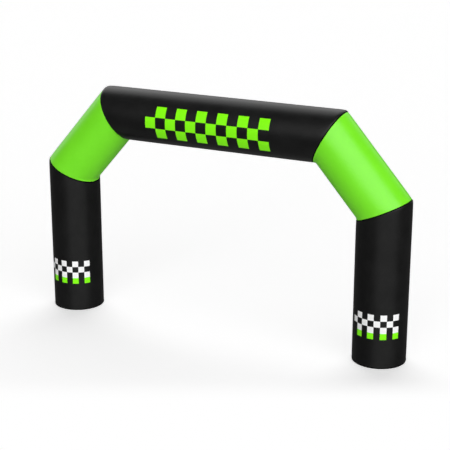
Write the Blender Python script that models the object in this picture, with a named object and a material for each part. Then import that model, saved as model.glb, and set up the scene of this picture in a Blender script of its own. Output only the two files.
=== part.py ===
"""Inflatable race arch: five air-filled cloth tubes sewn end to end, standing on two round base panels.

Run it with: blender --background --python part.py
Metres, +Z up. The origin is on the ground, midway between the two legs. X runs along the beam.
"""

import math
from collections import namedtuple

import bmesh
import bpy
from mathutils import Matrix, Vector

# Driving dimensions
TUBE_RADIUS = 0.400        # of every inflated tube
LEG_SPACING = 5.250        # from one leg's axis to the other's
BEAM_AXIS_HEIGHT = 3.295   # of the top tube's axis above the ground
SHOULDER_RUN = 0.845       # how far in the sloping tube's axis reaches
SHOULDER_DROP = 0.975      # how far down it reaches
LOWER_CUT_TILT = math.radians(4.1)    # the leg seams lean this much from the fold that they make
UPPER_CUT_TILT = math.radians(-4.8)   # and the beam seams this much
BASE_PANEL_THICKNESS = 0.003
CLEARANCE = 0.0003         # between two pieces that meet

# How finely the tubes are made
SEGMENTS = 60
MIDDLE_ROWS = 3

# The cloth near a seam: how far in the tube's wall is drawn, and how much of each pucker shows there
SeamRow = namedtuple("SeamRow", "distance draw_in pucker_share")
SLEEVE_ROWS = (
    SeamRow(distance=0.000, draw_in=0.0110, pucker_share=0.35),
    SeamRow(distance=0.007, draw_in=0.0050, pucker_share=0.80),
    SeamRow(distance=0.022, draw_in=0.0025, pucker_share=1.00),
    SeamRow(distance=0.060, draw_in=0.0010, pucker_share=0.80),
    SeamRow(distance=0.125, draw_in=0.0003, pucker_share=0.40),
    SeamRow(distance=0.220, draw_in=0.0000, pucker_share=0.00),
)
BASE_ROWS = (
    SeamRow(distance=0.000, draw_in=0.0140, pucker_share=0.20),
    SeamRow(distance=0.004, draw_in=0.0065, pucker_share=0.60),
    SeamRow(distance=0.012, draw_in=0.0022, pucker_share=1.00),
    SeamRow(distance=0.035, draw_in=0.0006, pucker_share=0.75),
    SeamRow(distance=0.090, draw_in=0.0000, pucker_share=0.30),
    SeamRow(distance=0.170, draw_in=0.0000, pucker_share=0.00),
)

# The main puckers round a seam. Degrees are counted from the outside of the bend, the front being 90.
Pucker = namedtuple("Pucker", "at_degrees half_width_degrees depth")
PUCKERS = (
    Pucker(at_degrees=12, half_width_degrees=11, depth=0.0022),
    Pucker(at_degrees=41, half_width_degrees=9, depth=0.0030),
    Pucker(at_degrees=74, half_width_degrees=12, depth=0.0026),
    Pucker(at_degrees=103, half_width_degrees=10, depth=0.0036),
    Pucker(at_degrees=128, half_width_degrees=11, depth=0.0044),
    Pucker(at_degrees=151, half_width_degrees=10, depth=0.0056),
    Pucker(at_degrees=176, half_width_degrees=12, depth=0.0062),
    Pucker(at_degrees=203, half_width_degrees=10, depth=0.0054),
    Pucker(at_degrees=229, half_width_degrees=11, depth=0.0046),
    Pucker(at_degrees=256, half_width_degrees=12, depth=0.0030),
    Pucker(at_degrees=290, half_width_degrees=10, depth=0.0034),
    Pucker(at_degrees=327, half_width_degrees=12, depth=0.0024),
)
PUCKER_TURN = {"left_foot": 17, "left_lower": 0, "left_upper": 9,
               "right_upper": -6, "right_lower": 5, "right_foot": -23}

Finish = namedtuple("Finish", "name colour roughness")
BLACK_CLOTH = Finish("black_cloth", (0.012, 0.012, 0.012, 1.0), 0.55)
LIME_CLOTH = Finish("lime_cloth", (0.165, 0.708, 0.016, 1.0), 0.45)
BASE_CLOTH = Finish("base_cloth", (0.010, 0.010, 0.010, 1.0), 0.70)


class Run:
    """A straight stretch of the arch's centre line, from start to end in the XZ plane."""

    def __init__(self, start, end):
        self.start = Vector(start)
        self.along = (Vector(end) - self.start).normalized()
        self.length = (Vector(end) - self.start).length
        self.outward = Vector((-self.along.y, self.along.x))

    def point(self, distance, angle, radius):
        """The point that far along the tube, at that angle from its outer side."""
        flat = self.start + self.along * distance + self.outward * (radius * math.cos(angle))
        return Vector((flat.x, -radius * math.sin(angle), flat.y))


def arch_runs():
    """The five straight runs, from the left foot over the top to the right foot."""
    half = LEG_SPACING / 2
    elbow = BEAM_AXIS_HEIGHT - SHOULDER_DROP
    foot = BASE_PANEL_THICKNESS + CLEARANCE
    corners = (
        (-half, foot), (-half, elbow), (-half + SHOULDER_RUN, BEAM_AXIS_HEIGHT),
        (half - SHOULDER_RUN, BEAM_AXIS_HEIGHT), (half, elbow), (half, foot),
    )
    return [Run(corners[i], corners[i + 1]) for i in range(5)]


class Joint:
    """Where two runs meet: the fold halves the bend, and the sewn cut leans from the fold by tilt."""

    def __init__(self, before, after, tilt):
        self.half_bend = before.along.angle(after.along) / 2
        self.tilt = tilt
        self.half_gap = CLEARANCE / 2 / math.cos(self.half_bend + abs(tilt))

    def fold(self, outer):
        """How far past the corner the fold lies on the run before; as far before it on the run after.

        The argument outer is how far the wall lies from the centre line, towards the outside of the bend.
        """
        return outer * math.tan(self.half_bend)

    def cut(self, outer):
        """How far past the fold the sewn cut lies, along the tube's wall."""
        if outer * self.tilt < 0:
            return outer * (math.tan(self.half_bend + self.tilt) - math.tan(self.half_bend))
        return outer * (math.tan(self.half_bend) - math.tan(self.half_bend - self.tilt))


def pucker_depth(angle, turn):
    """How deep the puckers are at that angle round a seam, where they are at their deepest."""
    depth = 0.0
    for pucker in PUCKERS:
        off = (math.degrees(angle) - pucker.at_degrees - turn + 180) % 360 - 180
        if abs(off) < pucker.half_width_degrees:
            depth += pucker.depth * math.cos(off / pucker.half_width_degrees * math.pi / 2) ** 2
    return depth


def cylinder_with_rings(rings):
    """A closed cylinder of radius 1 from z = 0 to z = rings - 1, with a ring of points at each whole z."""
    mesh = bmesh.new()
    bmesh.ops.create_cone(mesh, cap_ends=True, segments=SEGMENTS, radius1=1, radius2=1,
                          depth=rings - 1, matrix=Matrix.Translation((0, 0, (rings - 1) / 2)))
    for level in range(1, rings - 1):
        bmesh.ops.bisect_plane(mesh, geom=mesh.verts[:] + mesh.edges[:] + mesh.faces[:],
                               plane_co=(0, 0, level), plane_no=(0, 0, 1))
    return mesh


class Sleeve:
    """One cloth tube of the arch: run number index, from the seam before it to the seam after it."""

    def __init__(self, runs, joints, index):
        self.runs, self.index = runs, index
        self.joint_before = joints.get(index - 1)
        self.joint_after = joints.get(index)

    def start(self, outer):
        """Where the sleeve starts on its run's own length, that far towards the outside of the bend."""
        joint = self.joint_before
        return joint.cut(outer) - joint.fold(outer) + joint.half_gap if joint else 0.0

    def end(self, outer):
        length, joint = self.runs[self.index].length, self.joint_after
        return length + joint.fold(outer) + joint.cut(outer) - joint.half_gap if joint else length

    def point(self, distance, angle, radius):
        """A point of the wall. Past a fold it lies on the neighbouring run's cylinder."""
        run, outer = self.runs[self.index], radius * math.cos(angle)
        if self.joint_after:
            fold = self.joint_after.fold(outer)
            if distance > run.length + fold:
                return self.runs[self.index + 1].point(distance - run.length - 2 * fold, angle, radius)
        if self.joint_before:
            fold, before = self.joint_before.fold(outer), self.runs[self.index - 1]
            if distance < -fold:
                return before.point(before.length + distance + 2 * fold, angle, radius)
        return run.point(distance, angle, radius)


def build_sleeve(name, finish, sleeve, rows_before, rows_after, turn_before, turn_after):
    """One closed, air-filled tube: drawn in and puckered at both seams, and plain between them."""
    rings = len(rows_before) + MIDDLE_ROWS + len(rows_after)
    mesh = cylinder_with_rings(rings)
    for vert in mesh.verts:
        angle = math.atan2(vert.co.y, vert.co.x) % math.tau
        ring = round(vert.co.z)
        if ring < len(rows_before):
            row, turn = rows_before[ring], turn_before
        elif ring >= rings - len(rows_after):
            row, turn = rows_after[rings - 1 - ring], turn_after
        else:
            row, turn = SeamRow(distance=0.0, draw_in=0.0, pucker_share=0.0), 0
        radius = TUBE_RADIUS - row.draw_in - row.pucker_share * pucker_depth(angle, turn)
        first, last = sleeve.start(radius * math.cos(angle)), sleeve.end(radius * math.cos(angle))
        if ring < len(rows_before):
            distance = first + row.distance
        elif ring >= rings - len(rows_after):
            distance = last - row.distance
        else:
            share = (ring - len(rows_before) + 1) / (MIDDLE_ROWS + 1)
            near, far = first + rows_before[-1].distance, last - rows_after[-1].distance
            distance = near + (far - near) * share
        vert.co = sleeve.point(distance, angle, radius)
    return add_object(name, mesh, finish)


def build_base_panel(name, finish, centre_x):
    """The round panel that closes the foot of a leg and lies on the ground."""
    mesh = bmesh.new()
    radius = TUBE_RADIUS - BASE_ROWS[0].draw_in
    bmesh.ops.create_cone(mesh, cap_ends=True, segments=SEGMENTS, radius1=radius, radius2=radius,
                          depth=BASE_PANEL_THICKNESS)
    panel = add_object(name, mesh, finish)
    panel.location = (centre_x, 0, BASE_PANEL_THICKNESS / 2)
    return panel


def cloth_material(finish):
    material = bpy.data.materials.get(finish.name) or bpy.data.materials.new(finish.name)
    material.use_nodes = True
    shader = material.node_tree.nodes["Principled BSDF"]
    shader.inputs["Base Color"].default_value = finish.colour
    shader.inputs["Roughness"].default_value = finish.roughness
    shader.inputs["Metallic"].default_value = 0.0
    return material


def add_object(name, mesh, finish):
    data = bpy.data.meshes.new(name)
    mesh.to_mesh(data)
    mesh.free()
    data.materials.append(cloth_material(finish))
    data.shade_smooth()
    data.set_sharp_from_angle(angle=math.radians(35))
    piece = bpy.data.objects.new(name, data)
    bpy.data.collections["inflatable_arch"].objects.link(piece)
    return piece


def clear_scene():
    for old in list(bpy.data.objects):
        bpy.data.objects.remove(old, do_unlink=True)


def main():
    clear_scene()
    bpy.context.scene.collection.children.link(bpy.data.collections.new("inflatable_arch"))
    runs = arch_runs()
    joints = {
        0: Joint(runs[0], runs[1], LOWER_CUT_TILT),
        1: Joint(runs[1], runs[2], UPPER_CUT_TILT),
        2: Joint(runs[2], runs[3], -UPPER_CUT_TILT),
        3: Joint(runs[3], runs[4], -LOWER_CUT_TILT),
    }
    sleeves = [Sleeve(runs, joints, index) for index in range(5)]
    names = ("leg_left", "shoulder_left", "beam", "shoulder_right", "leg_right")
    finishes = (BLACK_CLOTH, LIME_CLOTH, BLACK_CLOTH, LIME_CLOTH, BLACK_CLOTH)
    seams = ("left_foot", "left_lower", "left_upper", "right_upper", "right_lower", "right_foot")
    for index, (name, finish, sleeve) in enumerate(zip(names, finishes, sleeves)):
        rows_before = BASE_ROWS if index == 0 else SLEEVE_ROWS
        rows_after = BASE_ROWS if index == 4 else SLEEVE_ROWS
        build_sleeve(name, finish, sleeve, rows_before, rows_after,
                     PUCKER_TURN[seams[index]], PUCKER_TURN[seams[index + 1]])
    build_base_panel("base_panel_left", BASE_CLOTH, -LEG_SPACING / 2)
    build_base_panel("base_panel_right", BASE_CLOTH, LEG_SPACING / 2)


main()
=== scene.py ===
# An inflatable race arch: five sleeves of coated nylon, sewn end to end and blown up tight.
import math

import bmesh
import bpy
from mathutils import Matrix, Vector, noise


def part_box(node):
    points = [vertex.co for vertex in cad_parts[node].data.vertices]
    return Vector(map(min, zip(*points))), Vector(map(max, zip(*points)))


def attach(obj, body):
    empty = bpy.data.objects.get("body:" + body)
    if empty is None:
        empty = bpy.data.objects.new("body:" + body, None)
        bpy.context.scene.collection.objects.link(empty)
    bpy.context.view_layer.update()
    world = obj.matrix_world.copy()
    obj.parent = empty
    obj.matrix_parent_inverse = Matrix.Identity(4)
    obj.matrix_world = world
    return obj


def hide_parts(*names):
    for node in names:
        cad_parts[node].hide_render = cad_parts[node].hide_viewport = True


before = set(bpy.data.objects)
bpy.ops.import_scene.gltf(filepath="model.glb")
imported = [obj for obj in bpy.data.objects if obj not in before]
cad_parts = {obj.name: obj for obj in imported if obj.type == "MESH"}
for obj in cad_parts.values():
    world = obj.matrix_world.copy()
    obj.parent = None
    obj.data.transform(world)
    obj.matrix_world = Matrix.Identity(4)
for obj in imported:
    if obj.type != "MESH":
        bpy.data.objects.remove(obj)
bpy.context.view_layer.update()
print("frame loaded")

# shape of the arch, in metres
legLow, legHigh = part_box("leg_right")
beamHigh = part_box("beam")[1]

arch = {
    "tubeRadius": (legHigh.x - legLow.x) / 2,
    "legX": (legHigh.x + legLow.x) / 2,        # each leg's axis, from the middle
    "footZ": legLow.z,                         # where the cloth starts, on top of the base panel
    "shoulderRun": 0.845,                      # how far in the sloping tube's axis reaches
    "shoulderDrop": 0.975,                     # how far down it reaches
    "lowerTilt": math.radians(4.1),            # the leg seams lean this much from the fold
    "upperTilt": math.radians(-4.8),           # and the beam seams this much
    "seamGap": 0.0003,
    "foldSoftness": 0.016,                     # a blown-up fold is round, not sharp
}
arch["beamZ"] = beamHigh.z - arch["tubeRadius"]
backSeam = 1.5 * math.pi                       # the closing seam runs up the back of every sleeve

# sleeves are numbered along the arch, and seam n lies just before sleeve n
leftLeg, beam, rightLeg = 0, 2, 4
footSeams = (leftLeg, rightLeg + 1)


def isLime(index):
    # the two shoulders, between the black sleeves
    return index % 2 == 1


def makeRun(start, end):
    # the straight axis of one sleeve, seen from the front: across and up
    along = (Vector(end) - Vector(start)).normalized()
    return {"start": Vector(start), "along": along, "outward": Vector((-along.y, along.x)),
            "length": (Vector(end) - Vector(start)).length}


def makeRuns():
    # the five axes, end to end
    side, elbow, run = arch["legX"], arch["beamZ"] - arch["shoulderDrop"], arch["shoulderRun"]
    corners = [(-side, arch["footZ"]), (-side, elbow), (-side + run, arch["beamZ"]),
               (side - run, arch["beamZ"]), (side, elbow), (side, arch["footZ"])]
    return [makeRun(a, b) for a, b in zip(corners, corners[1:])]


def makeFolds():
    # one where each sleeve meets the next
    tilts = (arch["lowerTilt"], arch["upperTilt"], -arch["upperTilt"], -arch["lowerTilt"])
    made = []
    for before, after, tilt in zip(runs, runs[1:], tilts):
        half = before["along"].angle(after["along"]) / 2
        made.append({"half": half, "tilt": tilt, "gap": arch["seamGap"] / 2 / math.cos(half + abs(tilt))})
    return made


runs = makeRuns()
folds = makeFolds()


def foldAt(fold, outer):
    # how far past the corner the fold lies, for cloth that far outside the centre line
    return outer * math.tan(fold["half"])


def cutAt(fold, outer):
    # how far past the fold the sewn cut lies
    half, tilt = fold["half"], fold["tilt"]
    if outer * tilt < 0:
        return outer * (math.tan(half + tilt) - math.tan(half))
    return outer * (math.tan(half) - math.tan(half - tilt))


def sleeveSpan(index, outer):
    # where a sleeve starts and ends, measured along its own run
    first, last = 0.0, runs[index]["length"]
    if index > leftLeg:
        fold = folds[index - 1]
        first = cutAt(fold, outer) - foldAt(fold, outer) + fold["gap"]
    if index < rightLeg:
        fold = folds[index]
        last += foldAt(fold, outer) + cutAt(fold, outer) - fold["gap"]
    return first, last


def softStep(past):
    # 0 well before the fold, the distance itself well past it, and a smooth turn between
    return (past + math.sqrt(past * past + arch["foldSoftness"] ** 2)) / 2


def tubePoint(index, distance, angle, radius):
    # a point of the cloth. Angle 0 is the outside of the bend and 90 degrees is the front
    run, outer = runs[index], radius * math.cos(angle)
    flat = run["start"] + run["along"] * distance + run["outward"] * outer
    if index < rightLeg:
        past = distance - run["length"] - foldAt(folds[index], outer)
        flat += (runs[index + 1]["along"] - run["along"]) * softStep(past)
    if index > leftLeg:
        past = -distance - foldAt(folds[index - 1], outer)
        flat += (run["along"] - runs[index - 1]["along"]) * softStep(past)
    return Vector((flat.x, -radius * math.sin(angle), flat.y))


# how air fills a sleeve
air = {
    "swell": 0.0036,           # the blown-up cloth stands this much outside the plain tube
    "sway": 0.0016,            # long, shallow waves over the whole sleeve
    "swayScale": 1.9,          # about two of them to the metre
    "drawIn": 0.0030,          # the whole sleeve is a little narrower at a seam
    "drawReach": 0.030,
}
# broad puckers that start at a seam
puckers = {
    # degrees round the tube, half width in degrees, depth in metres
    "places": [(12, 11, 0.0014), (41, 9, 0.0018), (74, 12, 0.0016), (103, 10, 0.0020), (128, 11, 0.0026),
               (151, 10, 0.0033), (176, 12, 0.0037), (203, 10, 0.0032), (229, 11, 0.0028),
               (256, 12, 0.0018), (290, 10, 0.0021), (327, 12, 0.0015)],
    # each seam has the same puckers, turned by this many degrees
    "turns": [17, 0, 9, -6, 5, -23],
    "reach": 0.070,            # they fade over this distance from the seam
    "widening": 5,             # and grow wider by this many times their width in a metre
    "held": 0.65,              # the stitches hold them flatter by this share, right at the seam
    "heldReach": 0.010,
}
# small gathers between the puckers
gathers = {
    "depth": 0.0019,
    "round": 46,               # how many go round the tube
    "reach": 0.030,
    "drift": 9,                # how fast they change with the distance from the seam
    "apart": 7.3,              # takes each seam's gathers from another part of the noise
}
# how the cloth ends: rolled in at a joint and under at a foot
ends = {
    "blackRoll": 0.012,        # the black edge rolls in under the lime one
    "limeRoll": 0.004,
    "footRound": 0.0025,
    "lapHeight": 0.018,        # the base cloth is lapped up round the foot
    "lapThickness": 0.0009,
}
# the allowance of a seam, felled to one side: how wide, and where its rows of stitches run
fell = {
    "height": 0.0011,
    "slope": 0.002,                            # its edge runs out over this distance
    "dent": 0.0005,                            # the stitches pull it down this deep
    "dentWidth": 0.0009,
    "joint": {"width": 0.026, "rows": (0.0160, 0.0235)},
    "back": {"width": 0.013, "rows": (0.0105,)},
    "foot": {"rows": (0.0130,)},               # this row runs through the lap of base cloth
}
# the mesh of a sleeve, with its distances in metres
grid = {
    # rows, counted from each seam, with even ones between
    "nearRows": [0.0, 0.0006, 0.0015, 0.0030, 0.0050, 0.0075, 0.0105, 0.0130, 0.0148, 0.0160, 0.0172,
                 0.0186, 0.0205, 0.0223, 0.0235, 0.0247, 0.0262, 0.0280, 0.032, 0.038, 0.046, 0.056,
                 0.070, 0.085, 0.105, 0.130, 0.160],
    "rowSpacing": 0.040,
    # columns, counted from the closing seam, with even ones between
    "seamColumns": [0.0, 0.0016, 0.0032, 0.0048, 0.0075, 0.0105, 0.0125, 0.0140, 0.0155, 0.020],
    "evenColumns": 264,
    "weld": 0.00005,                           # joins the two sides of the closing seam
}
lastNear = grid["nearRows"][-1]


def puckerDepth(seam, angle, distance):
    # two sleeves that meet share one seam number, so their puckers run through
    depth = 0.0
    for place, width, most in puckers["places"]:
        off = (math.degrees(angle) - place - puckers["turns"][seam] + 180) % 360 - 180
        spread = width * (1 + distance * puckers["widening"])
        if abs(off) < spread:
            depth += most * math.cos(off / spread * math.pi / 2) ** 2
    held = puckers["held"] * math.exp(-distance / puckers["heldReach"])
    fade = math.exp(-distance / puckers["reach"]) * (1 - held)
    ring = gathers["round"] / math.tau
    place = Vector((math.cos(angle) * ring, math.sin(angle) * ring,
                    seam * gathers["apart"] + distance * gathers["drift"]))
    gather = noise.noise(place) * gathers["depth"] * math.exp(-distance / gathers["reach"])
    return depth * fade + gather


def fellHeight(distance, seam):
    # the raised lap of a felled seam, dented where its rows of stitches pull it down
    past = seam["width"] + fell["slope"] - distance
    if past < 0:
        return 0.0
    edge = min(1.0, past / fell["slope"])
    dents = sum(math.exp(-((distance - row) / fell["dentWidth"]) ** 2) for row in seam["rows"])
    return fell["height"] * edge - fell["dent"] * dents


def clothRadius(index, distance, first, last, angle):
    # how far the cloth lies from the tube's axis, between the sleeve's first and last edge
    radius = arch["tubeRadius"]
    point = tubePoint(index, distance, angle, radius)
    radius += air["swell"] - air["sway"] * (0.5 + 0.5 * noise.noise(point * air["swayScale"]))
    for seam, away in ((index, distance - first), (index + 1, last - distance)):
        radius -= puckerDepth(seam, angle, away)
        atFoot = seam in footSeams
        if atFoot:
            roll = ends["footRound"]
        else:
            roll = ends["limeRoll" if isLime(index) else "blackRoll"]
        if away < roll:
            radius -= roll - math.sqrt(roll * roll - (roll - away) ** 2)
        if atFoot:
            if away < ends["lapHeight"]:
                radius += ends["lapThickness"]
        else:
            radius -= air["drawIn"] * math.exp(-away / air["drawReach"])
            if not isLime(index):              # the allowance is felled towards the black cloth
                radius += fellHeight(away, fell["joint"])
    offSeam = abs((angle - backSeam + math.pi) % math.tau - math.pi) * arch["tubeRadius"]
    return radius + fellHeight(offSeam, fell["back"])


def clothPoint(index, where, angle, lift=0.0):
    # where is ("start", distance) or ("end", distance), counted from that edge of the sleeve,
    # or ("middle", share), counted between the near rows of the two edges
    kind, value = where
    radius = arch["tubeRadius"]
    for _ in range(2):                         # the span follows the radius, so it is worked out twice
        first, last = sleeveSpan(index, radius * math.cos(angle))
        near, far = first + lastNear, last - lastNear
        distance = {"start": first + value, "end": last - value, "middle": near + (far - near) * value}[kind]
        radius = clothRadius(index, distance, first, last, angle)
    return tubePoint(index, distance, angle, radius + lift), distance - first


# small helpers
def toLinear(code):
    # an sRGB hex colour as linear red, green, blue, alpha
    shares = [int(code[i:i + 2], 16) / 255 for i in (1, 3, 5)]
    return tuple(s / 12.92 if s <= 0.04045 else ((s + 0.055) / 1.055) ** 2.4 for s in shares) + (1.0,)


def addNode(tree, kind, inputs=None, **settings):
    # each input is given a value, or another node's output to link it to
    node = tree.nodes.new(kind)
    for name, value in settings.items():
        setattr(node, name, value)
    for name, value in (inputs or {}).items():
        if isinstance(value, bpy.types.NodeSocket):
            tree.links.new(value, node.inputs[name])
        else:
            node.inputs[name].default_value = value
    return node


def newMaterial(name):
    material = bpy.data.materials.new(name)
    material.use_nodes = True
    return material, material.node_tree, material.node_tree.nodes["Principled BSDF"]


def addPiece(name, mesh, material, smooth=True):
    data = bpy.data.meshes.new(name)
    mesh.to_mesh(data)
    mesh.free()
    data.materials.append(material)
    if smooth:
        data.shade_smooth()
    piece = bpy.data.objects.new(name, data)
    bpy.context.scene.collection.objects.link(piece)
    return piece


# materials
nylon = {
    "black": ("#0F0F0F", "#161616"),
    "blackGloss": 0.38,
    "lime": ("#79EA22", "#7DEE25"),
    "limeGloss": 0.45,
    "roughness": (0.28, 0.32),
    "ior": 1.5,
    "wear": {"low": 0.35, "high": 0.65, "scale": 3.2, "amount": 1.0},      # clouds about 0.3 m wide
    "threadPitch": 0.0040,     # 420 denier cloth has a thread every 0.6 mm: drawn coarser, so that it shows
    "threadBump": 0.00012,
    "bumpStrength": 0.6,
}
canvas = {
    "base": ("#0E0E0E", "#1E1D1B"),
    # the lap of base cloth round the foot, coloured near black as painted contact shade along the floor
    "lap": ("#050505", "#0B0B0B"),
    # painted shade: the dark line in the groove along each black joint, drawn as a darker, duller cloth
    "edge": ("#050505", "#090909"),
    "gloss": 0.5,
    "foldedGloss": 0.06,       # a folded edge lies in its own shadow, so it hardly shines
    "roughness": 0.7,
    "wear": {"low": 0.45, "high": 0.75, "scale": 9.0, "amount": 0.8},      # rubbed spots about 0.1 m wide
    "grainScale": 420.0,       # a 2.4 mm grain: the real one, under 1 mm, is drawn coarser, so that it shows
    "grainBump": 0.0003,
    "bumpStrength": 0.6,
}
thread = {
    "black": ("#121212", "#1C1C1C"),
    "lime": ("#62C81C", "#78DC2C"),
    "roughness": 0.45,
    "twistScale": 900.0,       # a twist every 1.1 mm
}
# chequers where a race's own print would be. Centres are across and up, in metres, from the middle of the
# beam's front, or from the middle of a leg's front at the floor
limeInk, whiteInk = "#87FF04", "#F9F9F9"
beamPrint = {"ink": limeInk, "centre": (-0.05, 0.0), "square": 0.17, "columns": 12, "rows": 3}
legPrint = {"ink": whiteInk, "centre": (0.04, 0.70), "square": 0.095, "columns": 8, "rows": 3}
legStripe = {"ink": limeInk, "centre": (0.04, 0.51), "square": 0.095, "columns": 8, "rows": 1}
countShift = 100               # added to each count of squares, so that none is below 0


def addWear(tree, wear):
    # a slow, faint change over the cloth, from handling and packing: gives the mixing factor
    place = addNode(tree, "ShaderNodeTexCoord")
    cloud = addNode(tree, "ShaderNodeTexNoise", {"Vector": place.outputs["Object"], "Scale": wear["scale"],
                                                 "Detail": 5.0, "Roughness": 0.75})
    spread = {"Value": cloud.outputs[0], "From Min": wear["low"], "From Max": wear["high"],
              "To Min": 0.0, "To Max": wear["amount"]}
    return addNode(tree, "ShaderNodeMapRange", spread).outputs[0]


def addWeave(tree, shader):
    # the coated cloth still shows its threads
    uv = addNode(tree, "ShaderNodeUVMap", uv_map="weave")
    parts = addNode(tree, "ShaderNodeSeparateXYZ", {0: uv.outputs["UV"]})
    waves = []
    for part in (0, 1):
        phase = addNode(tree, "ShaderNodeMath", {0: parts.outputs[part], 1: math.pi / nylon["threadPitch"]},
                        operation="MULTIPLY")
        waves.append(addNode(tree, "ShaderNodeMath", {0: phase.outputs[0]}, operation="SINE").outputs[0])
    threads = addNode(tree, "ShaderNodeMath", {0: waves[0], 1: waves[1]}, operation="MULTIPLY")
    bump = addNode(tree, "ShaderNodeBump", {"Height": threads.outputs[0], "Distance": nylon["threadBump"],
                                            "Strength": nylon["bumpStrength"]})
    tree.links.new(bump.outputs[0], shader.inputs["Normal"])


def addPrint(tree, under, band):
    # chequers dyed into the cloth: squares of one ink inside a plain rectangle, round the print's own centre
    uv = addNode(tree, "ShaderNodeUVMap", uv_map="print")
    parts = addNode(tree, "ShaderNodeSeparateXYZ", {0: uv.outputs["UV"]})
    inside, odd = [], []
    for part, count in ((0, band["columns"]), (1, band["rows"])):
        off = addNode(tree, "ShaderNodeMath", {0: parts.outputs[part], 1: band["centre"][part]},
                      operation="SUBTRACT").outputs[0]
        away = addNode(tree, "ShaderNodeMath", {0: off}, operation="ABSOLUTE").outputs[0]
        inside.append(addNode(tree, "ShaderNodeMath", {0: away, 1: band["square"] * count / 2},
                              operation="LESS_THAN").outputs[0])
        cell = addNode(tree, "ShaderNodeMath", {0: off, 1: 1 / band["square"], 2: count / 2 + countShift},
                       operation="MULTIPLY_ADD").outputs[0]
        odd.append(addNode(tree, "ShaderNodeMath", {0: cell}, operation="FLOOR").outputs[0])
    total = addNode(tree, "ShaderNodeMath", {0: odd[0], 1: odd[1]}, operation="ADD").outputs[0]
    mark = addNode(tree, "ShaderNodeMath", {0: total, 1: 2.0}, operation="MODULO").outputs[0]
    for part in inside:
        mark = addNode(tree, "ShaderNodeMath", {0: mark, 1: part}, operation="MULTIPLY").outputs[0]
    return addNode(tree, "ShaderNodeMix", {0: mark, 6: under, 7: toLinear(band["ink"])},
                   data_type="RGBA").outputs[2]


def coatedNylon(name, colours, gloss, prints=()):
    # polyurethane-coated nylon: a close weave under a thin satin film, so broad soft highlights
    material, tree, shader = newMaterial(name)
    wear = addWear(tree, nylon["wear"])
    colour = addNode(tree, "ShaderNodeMix", {0: wear, 6: toLinear(colours[0]), 7: toLinear(colours[1])},
                     data_type="RGBA").outputs[2]
    for band in prints:
        colour = addPrint(tree, colour, band)
    tree.links.new(colour, shader.inputs["Base Color"])
    rough = addNode(tree, "ShaderNodeMapRange", {"Value": wear, "To Min": nylon["roughness"][0],
                                                 "To Max": nylon["roughness"][1]})
    tree.links.new(rough.outputs[0], shader.inputs["Roughness"])
    shader.inputs["IOR"].default_value = nylon["ior"]
    shader.inputs["Specular IOR Level"].default_value = gloss
    addWeave(tree, shader)
    return material


def coarseCanvas(name, colours, gloss):
    # heavy coated base cloth: dull, a little greyer where it has rubbed on the road
    material, tree, shader = newMaterial(name)
    rub = addWear(tree, canvas["wear"])
    colour = addNode(tree, "ShaderNodeMix", {0: rub, 6: toLinear(colours[0]), 7: toLinear(colours[1])},
                     data_type="RGBA")
    tree.links.new(colour.outputs[2], shader.inputs["Base Color"])
    shader.inputs["Roughness"].default_value = canvas["roughness"]
    shader.inputs["Specular IOR Level"].default_value = gloss
    place = addNode(tree, "ShaderNodeTexCoord")
    grain = addNode(tree, "ShaderNodeTexNoise", {"Vector": place.outputs["Object"],
                                                 "Scale": canvas["grainScale"]})
    bump = addNode(tree, "ShaderNodeBump", {"Height": grain.outputs[0], "Distance": canvas["grainBump"],
                                            "Strength": canvas["bumpStrength"]})
    tree.links.new(bump.outputs[0], shader.inputs["Normal"])
    return material


def bondedThread(name, colours):
    # bonded polyester thread: twisted, faintly shiny
    material, tree, shader = newMaterial(name)
    place = addNode(tree, "ShaderNodeTexCoord")
    twist = addNode(tree, "ShaderNodeTexNoise", {"Vector": place.outputs["Object"],
                                                 "Scale": thread["twistScale"]})
    tone = addNode(tree, "ShaderNodeMix", {0: twist.outputs[0], 6: toLinear(colours[0]),
                                           7: toLinear(colours[1])}, data_type="RGBA")
    tree.links.new(tone.outputs[2], shader.inputs["Base Color"])
    shader.inputs["Roughness"].default_value = thread["roughness"]
    return material


blackBeam = coatedNylon("coated_nylon_black_beam", nylon["black"], nylon["blackGloss"], [beamPrint])
blackLeg = coatedNylon("coated_nylon_black_leg", nylon["black"], nylon["blackGloss"], [legPrint, legStripe])
limeCloth = coatedNylon("coated_nylon_lime", nylon["lime"], nylon["limeGloss"])
baseCanvas = coarseCanvas("base_canvas", canvas["base"], canvas["gloss"])
# a real lap of base cloth, coloured darker than it is as painted contact shade at the floor
lapCanvasPaintedShade = coarseCanvas("base_canvas_lap_painted_shade", canvas["lap"], canvas["foldedGloss"])
# painted shade along each black joint: a dark, dull strip where the groove's shadow falls
paintedSeamShade = coarseCanvas("seam_edge_black_painted_shade", canvas["edge"], canvas["foldedGloss"])
blackThread = bondedThread("bonded_thread_black", thread["black"])
limeThread = bondedThread("bonded_thread_lime", thread["lime"])
print("materials made")

# the sleeves
sleeves = [
    ("leg_left", blackLeg, "black_cloth"),
    ("shoulder_left", limeCloth, "lime_cloth"),
    ("beam", blackBeam, "black_cloth"),
    ("shoulder_right", limeCloth, "lime_cloth"),
    ("leg_right", blackLeg, "black_cloth"),
]
# the dull, folded ends of a black sleeve, given darker cloths as painted shade: painted contact shade at the
# foot, painted groove shade at each joint. How far they reach, and which of its cloths they are
edges = {
    "foot": {"reach": 0.0186, "cloth": 1},
    "joint": {"reach": 0.0172, "cloth": 2},
}
# the two painted-shade cloths
paintedShadeCloths = (lapCanvasPaintedShade, paintedSeamShade)             # cloths 1 and 2. Cloth 0 is the sleeve's own


def columnAngles():
    side = [offset / arch["tubeRadius"] for offset in grid["seamColumns"]]
    span = math.tau - 2 * side[-1]
    even = [side[-1] + span * i / grid["evenColumns"] for i in range(1, grid["evenColumns"])]
    return [backSeam + a for a in side + even + [math.tau - a for a in reversed(side)]]


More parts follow.
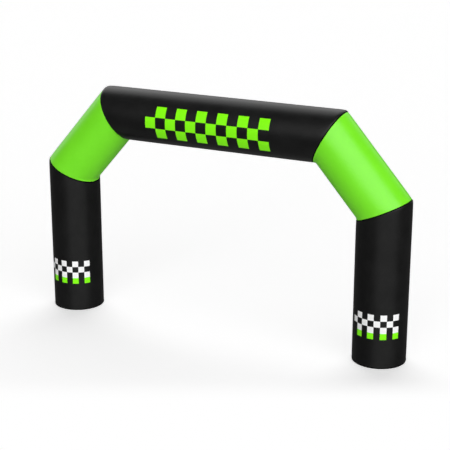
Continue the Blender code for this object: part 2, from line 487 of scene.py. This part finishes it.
def sleeveRows(index):
    middle = max(2, round((runs[index]["length"] - 2 * lastNear) / grid["rowSpacing"]))
    return ([("start", d) for d in grid["nearRows"]] + [("middle", i / middle) for i in range(1, middle)]
            + [("end", d) for d in reversed(grid["nearRows"])])


def edgeCloth(index, below, above):
    # which cloth lies between two rows of the mesh
    kind, away = above if above[0] == "start" else below
    if kind == "middle" or isLime(index):
        return 0
    edge = edges["foot" if (index, kind) in ((leftLeg, "start"), (rightLeg, "end")) else "joint"]
    return edge["cloth"] if away <= edge["reach"] else 0


def printPlace(index, point, angle):
    # where a point lies on the print: across and up, in metres. Arc length is counted from the front
    arc = (angle - backSeam - math.pi) * arch["tubeRadius"]
    if index == beam:
        return point.x, -arc
    return (-arc if index == rightLeg else arc), point.z


def sewSleeve(name, index, material):
    angles, rows = columnAngles(), sleeveRows(index)
    columnCount, rowCount = len(angles) - 1, len(rows) - 1
    half = 0.5                                 # the flat cloth starts as a square 1 m wide
    mesh = bmesh.new()
    bmesh.ops.create_grid(mesh, x_segments=columnCount, y_segments=rowCount, size=half)
    weaveMap, printMap = mesh.loops.layers.uv.new("weave"), mesh.loops.layers.uv.new("print")
    places, rowOf = {}, {}
    for vert in mesh.verts:                    # it is wrapped round and joined up the back
        angle = angles[round((vert.co.x + half) * columnCount)]
        rowOf[vert] = round((vert.co.y + half) * rowCount)
        point, along = clothPoint(index, rows[rowOf[vert]], angle)
        places[vert] = ((angle * arch["tubeRadius"], along), printPlace(index, point, angle))
        vert.co = point
    for face in mesh.faces:
        for loop in face.loops:
            loop[weaveMap].uv, loop[printMap].uv = places[loop.vert]
        row = min(rowOf[vert] for vert in face.verts)
        face.material_index = edgeCloth(index, rows[row], rows[row + 1])
    bmesh.ops.remove_doubles(mesh, verts=mesh.verts[:], dist=grid["weld"])
    bmesh.ops.holes_fill(mesh, edges=[e for e in mesh.edges if e.is_boundary], sides=0)
    if mesh.calc_volume(signed=True) < 0:
        bmesh.ops.reverse_faces(mesh, faces=mesh.faces[:])
    for face in mesh.faces:
        face.smooth = len(face.verts) == 4     # the two end caps stay flat
    cloth = addPiece(name, mesh, material, smooth=False)
    if not isLime(index):
        # black sleeves also get the two painted-shade cloths, for their ends
        for edge in paintedShadeCloths:
            cloth.data.materials.append(edge)
    return cloth


for index, (node, material, slotName) in enumerate(sleeves):
    cloth = sewSleeve(node + "_cloth", index, material)
    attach(cloth, "root")
    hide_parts(node)
    print("sewn:", cloth.name, len(cloth.data.polygons), "faces")

for node in ("base_panel_left", "base_panel_right"):
    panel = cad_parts[node]
    panel.data.materials.clear()
    panel.data.materials.append(baseCanvas)

# stitches
stitch = {
    "length": 0.0042,
    "pitch": 0.0052,
    "thickness": 0.0007,
    # share of the length, and height above the cloth: it dives in at both ends
    "profile": ((0, -0.0006), (0.2, 0.0005), (0.8, 0.0005), (1, -0.0006)),
    # the rows up the back stop this far from a joint or a foot
    "blackClear": 0.029,
    "limeClear": 0.006,
}


def stitchLine(name, spots, material):
    # spots gives, for a distance along the row, a point on the cloth lifted by so much
    curve = bpy.data.curves.new(name, "CURVE")
    curve.dimensions = "3D"
    curve.bevel_depth = stitch["thickness"] / 2
    curve.bevel_resolution = 0
    curve.use_fill_caps = True
    for at, length in spots:
        for i in range(int(length / stitch["pitch"])):
            start = i * stitch["pitch"]
            spline = curve.splines.new("POLY")
            spline.points.add(len(stitch["profile"]) - 1)
            for point, (share, lift) in zip(spline.points, stitch["profile"]):
                point.co = (*at(start + share * stitch["length"], lift), 1)
    holder = bpy.data.objects.new(name, curve)
    bpy.context.scene.collection.objects.link(holder)
    data = bpy.data.meshes.new_from_object(holder)
    bpy.data.objects.remove(holder)
    data.materials.clear()
    data.materials.append(material)
    data.shade_smooth()
    piece = bpy.data.objects.new(name, data)
    bpy.context.scene.collection.objects.link(piece)
    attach(piece, "root")


def ringRow(index, kind, away):
    # once round a sleeve, that far from its seam
    return (lambda s, lift: clothPoint(index, (kind, away), s / arch["tubeRadius"], lift)[0],
            math.tau * arch["tubeRadius"])


def backRow(index, side):
    # up the closing seam, on one side of it
    clear = stitch["limeClear" if isLime(index) else "blackClear"]
    length = runs[index]["length"] - 2 * clear
    angle = backSeam + side / arch["tubeRadius"]
    return (lambda s, lift: clothPoint(index, ("start", clear + s), angle, lift)[0], length)


ringSeams = [
    ("seam_left_lower", leftLeg, "end", "joint"),
    ("seam_left_upper", beam, "start", "joint"),
    ("seam_right_upper", beam, "end", "joint"),
    ("seam_right_lower", rightLeg, "start", "joint"),
    ("foot_left", leftLeg, "start", "foot"),
    ("foot_right", rightLeg, "end", "foot"),
]
for name, index, kind, seam in ringSeams:
    rows = [ringRow(index, kind, away) for away in fell[seam]["rows"]]
    stitchLine(name + "_stitches", rows, blackThread)
for index, (node, material, slotName) in enumerate(sleeves):
    rows = [backRow(index, side * away) for side in (-1, 1) for away in fell["back"]["rows"]]
    stitchLine(node + "_back_stitches", rows, limeThread if isLime(index) else blackThread)
print("stitches made")

# floor, backdrop, light and camera
studio = {
    "floorSize": 600.0,
    "floorGrey": 1.0,
    "floorGlow": 0.505,                        # the floor as it looks: white, with the shadows on it
    "bounceGrey": 0.48,                        # and the light grey floor that lights the cloth from below
    "whiteLine": 2.2,                          # this far in front of the arch the floor burns out to white
    "whiteBlur": 0.4,
    "backdropRadius": 290.0,
    "ambient": {"above": 0.08, "below": 0.07, "blur": 0.12},
    # big soft panels of light, far off: degrees to the right of straight in front, degrees up
    "panels": [
        {"turn": 36, "up": 32, "halfWidth": 50, "halfHeight": 25, "softness": 13, "glow": 2.6},
        {"turn": 36, "up": -14, "halfWidth": 42, "halfHeight": 20, "softness": 16, "glow": 0.35},
        {"turn": 180, "up": -80, "halfWidth": 200, "halfHeight": 45, "softness": 12, "glow": 0.07},
        {"turn": 202, "up": 37, "halfWidth": 46, "halfHeight": 25, "softness": 12, "glow": 1.0},
        {"turn": 244, "up": 18, "halfWidth": 22, "halfHeight": 21, "softness": 10, "glow": 0.7},
    ],
    # a broad lamp behind on the left, for the shadows in front of the feet; it isn't mirrored
    "backLamp": {"turn": 202, "up": 42, "spread": 62, "strength": 1.25},
}
eye = {"at": (8.290, -16.510, 7.615), "pitch": 72.266, "turn": 26.458, "lens": 101.16, "sensor": 36,
       "farthest": 1000}
white = (1, 1, 1, 1)


def stagePiece(name, mesh, glow, diffuse):
    # dull, and glowing white by itself
    material, tree, shader = newMaterial(name)
    shader.inputs["Base Color"].default_value = diffuse
    shader.inputs["Roughness"].default_value = 1.0
    shader.inputs["Specular IOR Level"].default_value = 0.0
    shader.inputs["Emission Color"].default_value = white
    shader.inputs["Emission Strength"].default_value = glow
    piece = addPiece(name, mesh, material)
    return piece


def makeFloor(name, grey, glow):
    mesh = bmesh.new()
    bmesh.ops.create_grid(mesh, x_segments=1, y_segments=1, size=studio["floorSize"] / 2)
    plane = stagePiece(name, mesh, glow, (grey, grey, grey, 1))
    plane.visible_glossy = False               # neither floor is mirrored in the cloth
    plane.visible_shadow = False               # and neither keeps the light from the other
    return plane


def burnOut(plane, turn):
    # in front of a soft line across the floor its colour fades to black and its glow rises to full white
    tree = plane.active_material.node_tree
    shader = tree.nodes["Principled BSDF"]
    place = addNode(tree, "ShaderNodeTexCoord")
    ahead = addNode(tree, "ShaderNodeVectorMath", {0: place.outputs["Object"],
                                                   1: (-math.sin(turn), math.cos(turn), 0)},
                    operation="DOT_PRODUCT")
    far = {"Value": ahead.outputs["Value"], "From Min": -studio["whiteLine"] - studio["whiteBlur"],
           "From Max": -studio["whiteLine"] + studio["whiteBlur"]}
    shaded = addNode(tree, "ShaderNodeMapRange", far, interpolation_type="SMOOTHSTEP").outputs[0]
    floorColour = (studio["floorGrey"],) * 3 + (1,)
    grey = addNode(tree, "ShaderNodeMix", {0: shaded, 6: (0, 0, 0, 1), 7: floorColour}, data_type="RGBA")
    glow = addNode(tree, "ShaderNodeMapRange", {"Value": shaded, "To Min": 1.0,
                                                "To Max": studio["floorGlow"]})
    tree.links.new(grey.outputs[2], shader.inputs["Base Color"])
    tree.links.new(glow.outputs[0], shader.inputs["Emission Strength"])


def softEdge(tree, angle, half, softness):
    # 1 inside the panel, 0 outside it, with a soft edge
    off = addNode(tree, "ShaderNodeMath", {0: angle}, operation="ABSOLUTE")
    edge = {"Value": off.outputs[0], "From Min": math.radians(half - softness),
            "From Max": math.radians(half + softness), "To Min": 1.0, "To Max": 0.0}
    return addNode(tree, "ShaderNodeMapRange", edge, interpolation_type="SMOOTHSTEP").outputs[0]


def addPanelLight(tree, look, panel):
    turned = addNode(tree, "ShaderNodeVectorRotate", {"Vector": look, "Angle": -math.radians(panel["turn"])},
                     rotation_type="Z_AXIS")
    parts = addNode(tree, "ShaderNodeSeparateXYZ", {0: turned.outputs[0]}).outputs
    ahead = addNode(tree, "ShaderNodeMath", {0: parts[1], 1: -1.0}, operation="MULTIPLY").outputs[0]
    across = addNode(tree, "ShaderNodeMath", {0: parts[0], 1: ahead}, operation="ARCTAN2").outputs[0]
    height = addNode(tree, "ShaderNodeMath", {0: parts[2]}, operation="ARCSINE").outputs[0]
    above = addNode(tree, "ShaderNodeMath", {0: height, 1: math.radians(panel["up"])}, operation="SUBTRACT")
    wide = softEdge(tree, across, panel["halfWidth"], panel["softness"])
    high = softEdge(tree, above.outputs[0], panel["halfHeight"], panel["softness"])
    both = addNode(tree, "ShaderNodeMath", {0: wide, 1: high}, operation="MULTIPLY").outputs[0]
    return addNode(tree, "ShaderNodeMath", {0: both, 1: panel["glow"]}, operation="MULTIPLY").outputs[0]


floor = makeFloor("floor", studio["floorGrey"], studio["floorGlow"])
floor.visible_diffuse = False
burnOut(floor, math.radians(eye["turn"]))
makeFloor("floor_bounce", studio["bounceGrey"], 0.0).visible_camera = False

mesh = bmesh.new()
bmesh.ops.create_uvsphere(mesh, u_segments=32, v_segments=16, radius=studio["backdropRadius"])
backdrop = stagePiece("backdrop", mesh, 1.0, (0, 0, 0, 1))
for rays in ("diffuse", "glossy", "transmission", "volume_scatter", "shadow"):
    setattr(backdrop, "visible_" + rays, False)                # only the camera sees it

world = bpy.data.worlds.new("studio")
bpy.context.scene.world = world
world.use_nodes = True
sky = world.node_tree
look = addNode(sky, "ShaderNodeTexCoord").outputs["Generated"]
upward = addNode(sky, "ShaderNodeSeparateXYZ", {0: look}).outputs[2]
ambient = studio["ambient"]
horizon = {"Value": upward, "From Min": -ambient["blur"], "From Max": ambient["blur"],
           "To Min": ambient["below"], "To Max": ambient["above"]}
glow = addNode(sky, "ShaderNodeMapRange", horizon).outputs[0]
for panel in studio["panels"]:
    lit = addPanelLight(sky, look, panel)
    glow = addNode(sky, "ShaderNodeMath", {0: glow, 1: lit}, operation="ADD").outputs[0]
sky.links.new(glow, sky.nodes["Background"].inputs["Strength"])
sky.nodes["Background"].inputs["Color"].default_value = white

lamp = studio["backLamp"]
backLamp = bpy.data.lights.new("back_lamp", "SUN")
backLamp.energy = lamp["strength"]
backLamp.angle = math.radians(lamp["spread"])
lampObject = bpy.data.objects.new("back_lamp", backLamp)
turn, up = math.radians(lamp["turn"]), math.radians(lamp["up"])
toLamp = Vector((math.sin(turn) * math.cos(up), -math.cos(turn) * math.cos(up), math.sin(up)))
lampObject.rotation_euler = toLamp.to_track_quat("Z", "Y").to_euler()
lampObject.visible_glossy = False
bpy.context.scene.collection.objects.link(lampObject)

camera = bpy.data.cameras.new("camera")
camera.sensor_width = eye["sensor"]
camera.lens = eye["lens"]
camera.clip_end = eye["farthest"]
cameraObject = bpy.data.objects.new("camera", camera)
cameraObject.location = eye["at"]
cameraObject.rotation_euler = (math.radians(eye["pitch"]), 0, math.radians(eye["turn"]))
bpy.context.scene.collection.objects.link(cameraObject)
bpy.context.scene.camera = cameraObject
bpy.context.scene.view_settings.view_transform = "Standard"
print("stage set")
